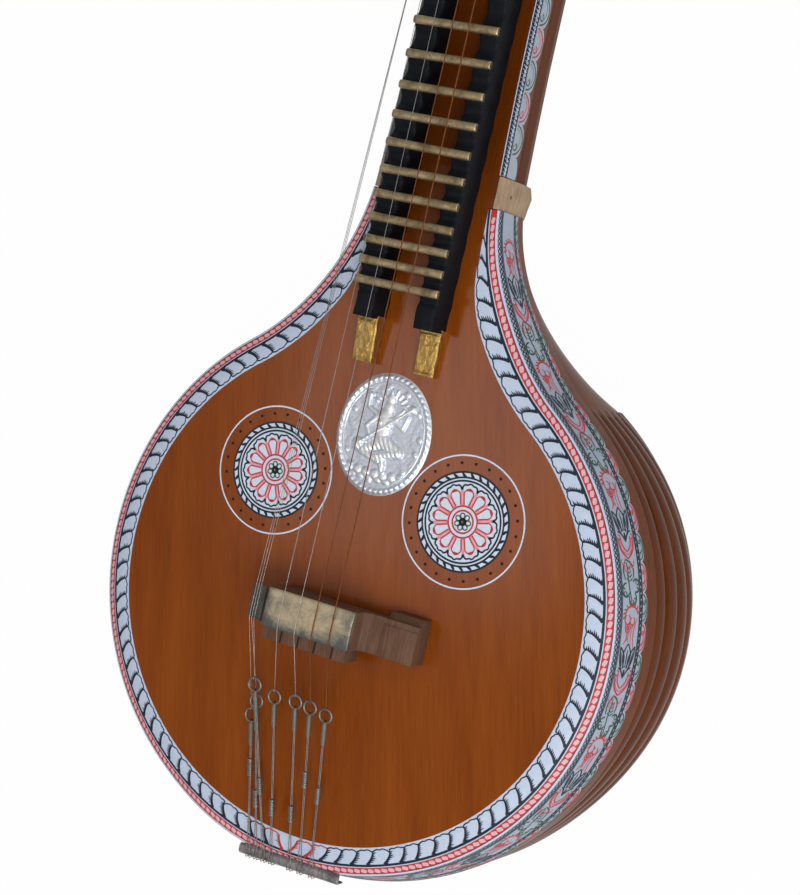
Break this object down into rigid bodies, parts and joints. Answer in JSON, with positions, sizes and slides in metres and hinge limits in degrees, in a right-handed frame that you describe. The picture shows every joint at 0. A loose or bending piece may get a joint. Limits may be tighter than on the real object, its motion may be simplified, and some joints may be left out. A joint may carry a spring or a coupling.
{
  "type": "veena",
  "caption": "Plucked lute with a carved round resonator, fretted hollow neck, wax rails, bridge, wire tuners, turning pegs and a second resonator under the neck.",
  "frame": {"origin": "centre of the flat foot under the bowl", "axes": "+Z along the soundboard's normal, +Y up the neck, +X away from the side strings"},
  "size_m": [0.402, 1.3314, 0.2362],
  "materials": {
    "lacquered_wood": "glossy lacquer",
    "bare_wood": "unfinished",
    "dark_wood": "satin",
    "black_wax": "smooth, slightly shiny",
    "worn_brass": "worn",
    "bone": "satin",
    "plated_metal": "aged",
    "string_steel": "drawn wire",
    "string_bronze": "drawn wire",
    "gourd_skin": "glossy lacquer"
  },
  "bodies": {
    "body": {"bowl": "lacquered_wood", "soundboard": "lacquered_wood", "joint_collar": "bare_wood", "neck": "lacquered_wood", "neck_top": "lacquered_wood", "wax_rail_left": "black_wax", "wax_rail_right": "black_wax", "fret_01": "worn_brass", "fret_02": "worn_brass", "fret_03": "worn_brass", "fret_04": "worn_brass", "fret_05": "worn_brass", "fret_06": "worn_brass", "fret_07": "worn_brass", "fret_08": "worn_brass", "fret_09": "worn_brass", "fret_10": "worn_brass", "fret_11": "worn_brass", "fret_12": "worn_brass", "fret_13": "worn_brass", "fret_14": "worn_brass", "fret_15": "worn_brass", "fret_16": "worn_brass", "fret_17": "worn_brass", "fret_18": "worn_brass", "fret_19": "worn_brass", "fret_20": "worn_brass", "fret_21": "worn_brass", "fret_22": "worn_brass", "fret_23": "worn_brass", "fret_24": "worn_brass", "nut": "bone", "bridge_body": "dark_wood", "bridge_plate": "worn_brass", "side_bridge": "plated_metal", "tailpiece": "plated_metal", "pegbox": "lacquered_wood", "yali_head": "lacquered_wood", "string_1": "string_steel", "string_2": "string_steel", "string_3": "string_bronze", "string_4": "string_bronze", "side_string_1": "string_steel", "side_string_2": "string_steel", "side_string_3": "string_steel"},
    "peg_1": {"peg_1": "dark_wood"},
    "tuning_bead_1": {"tuning_bead_1": "string_steel"},
    "peg_2": {"peg_2": "dark_wood"},
    "tuning_bead_2": {"tuning_bead_2": "string_steel"},
    "peg_3": {"peg_3": "dark_wood"},
    "tuning_bead_3": {"tuning_bead_3": "string_steel"},
    "peg_4": {"peg_4": "dark_wood"},
    "tuning_bead_4": {"tuning_bead_4": "string_steel"},
    "side_peg_1": {"side_peg_1": "dark_wood"},
    "side_bead_1": {"side_bead_1": "string_steel"},
    "side_peg_2": {"side_peg_2": "dark_wood"},
    "side_bead_2": {"side_bead_2": "string_steel"},
    "side_peg_3": {"side_peg_3": "dark_wood"},
    "side_bead_3": {"side_bead_3": "string_steel"},
    "gourd": {"gourd": "gourd_skin"}
  },
  "joints": [
    {"name": "peg_1_turn", "type": "hinge", "parent": "body", "child": "peg_1", "pos_m": [0, 0.8783, 0.176], "axis": [1, 0, 0], "continuous": true},
    {"name": "tuning_bead_1_slide", "type": "slide", "parent": "body", "child": "tuning_bead_1", "axis": [0.1203, -0.9759, -0.1821], "range_m": [-0.009, 0.009]},
    {"name": "peg_2_turn", "type": "hinge", "parent": "body", "child": "peg_2", "pos_m": [0, 0.9083, 0.176], "axis": [1, 0, 0], "continuous": true},
    {"name": "tuning_bead_2_slide", "type": "slide", "parent": "body", "child": "tuning_bead_2", "axis": [0.1058, -0.9777, -0.1812], "range_m": [-0.009, 0.009]},
    {"name": "peg_3_turn", "type": "hinge", "parent": "body", "child": "peg_3", "pos_m": [0, 0.9383, 0.176], "axis": [1, 0, 0], "continuous": true},
    {"name": "tuning_bead_3_slide", "type": "slide", "parent": "body", "child": "tuning_bead_3", "axis": [0.0751, -0.9802, -0.1832], "range_m": [-0.009, 0.009]},
    {"name": "peg_4_turn", "type": "hinge", "parent": "body", "child": "peg_4", "pos_m": [0, 0.9683, 0.176], "axis": [1, 0, 0], "continuous": true},
    {"name": "tuning_bead_4_slide", "type": "slide", "parent": "body", "child": "tuning_bead_4", "axis": [0.0441, -0.9814, -0.187], "range_m": [-0.009, 0.009]},
    {"name": "side_peg_1_turn", "type": "hinge", "parent": "body", "child": "side_peg_1", "pos_m": [-0.04, 0.52, 0.187], "axis": [1, 0, 0], "continuous": true},
    {"name": "side_bead_1_slide", "type": "slide", "parent": "body", "child": "side_bead_1", "axis": [0.1761, -0.9807, -0.0854], "range_m": [-0.006, 0.009]},
    {"name": "side_peg_2_turn", "type": "hinge", "parent": "body", "child": "side_peg_2", "pos_m": [-0.04, 0.6, 0.187], "axis": [1, 0, 0], "continuous": true},
    {"name": "side_bead_2_slide", "type": "slide", "parent": "body", "child": "side_bead_2", "axis": [0.173, -0.9768, -0.1259], "range_m": [-0.009, 0.009]},
    {"name": "side_peg_3_turn", "type": "hinge", "parent": "body", "child": "side_peg_3", "pos_m": [-0.04, 0.68, 0.187], "axis": [1, 0, 0], "continuous": true},
    {"name": "side_bead_3_slide", "type": "slide", "parent": "body", "child": "side_bead_3", "axis": [0.1937, -0.9624, -0.1903], "range_m": [-0.009, 0.009]},
    {"name": "gourd_turn", "type": "hinge", "parent": "body", "child": "gourd", "pos_m": [0, 0.725, 0.06], "axis": [0, 0, 1], "range_deg": [0, 360]}
  ]
}
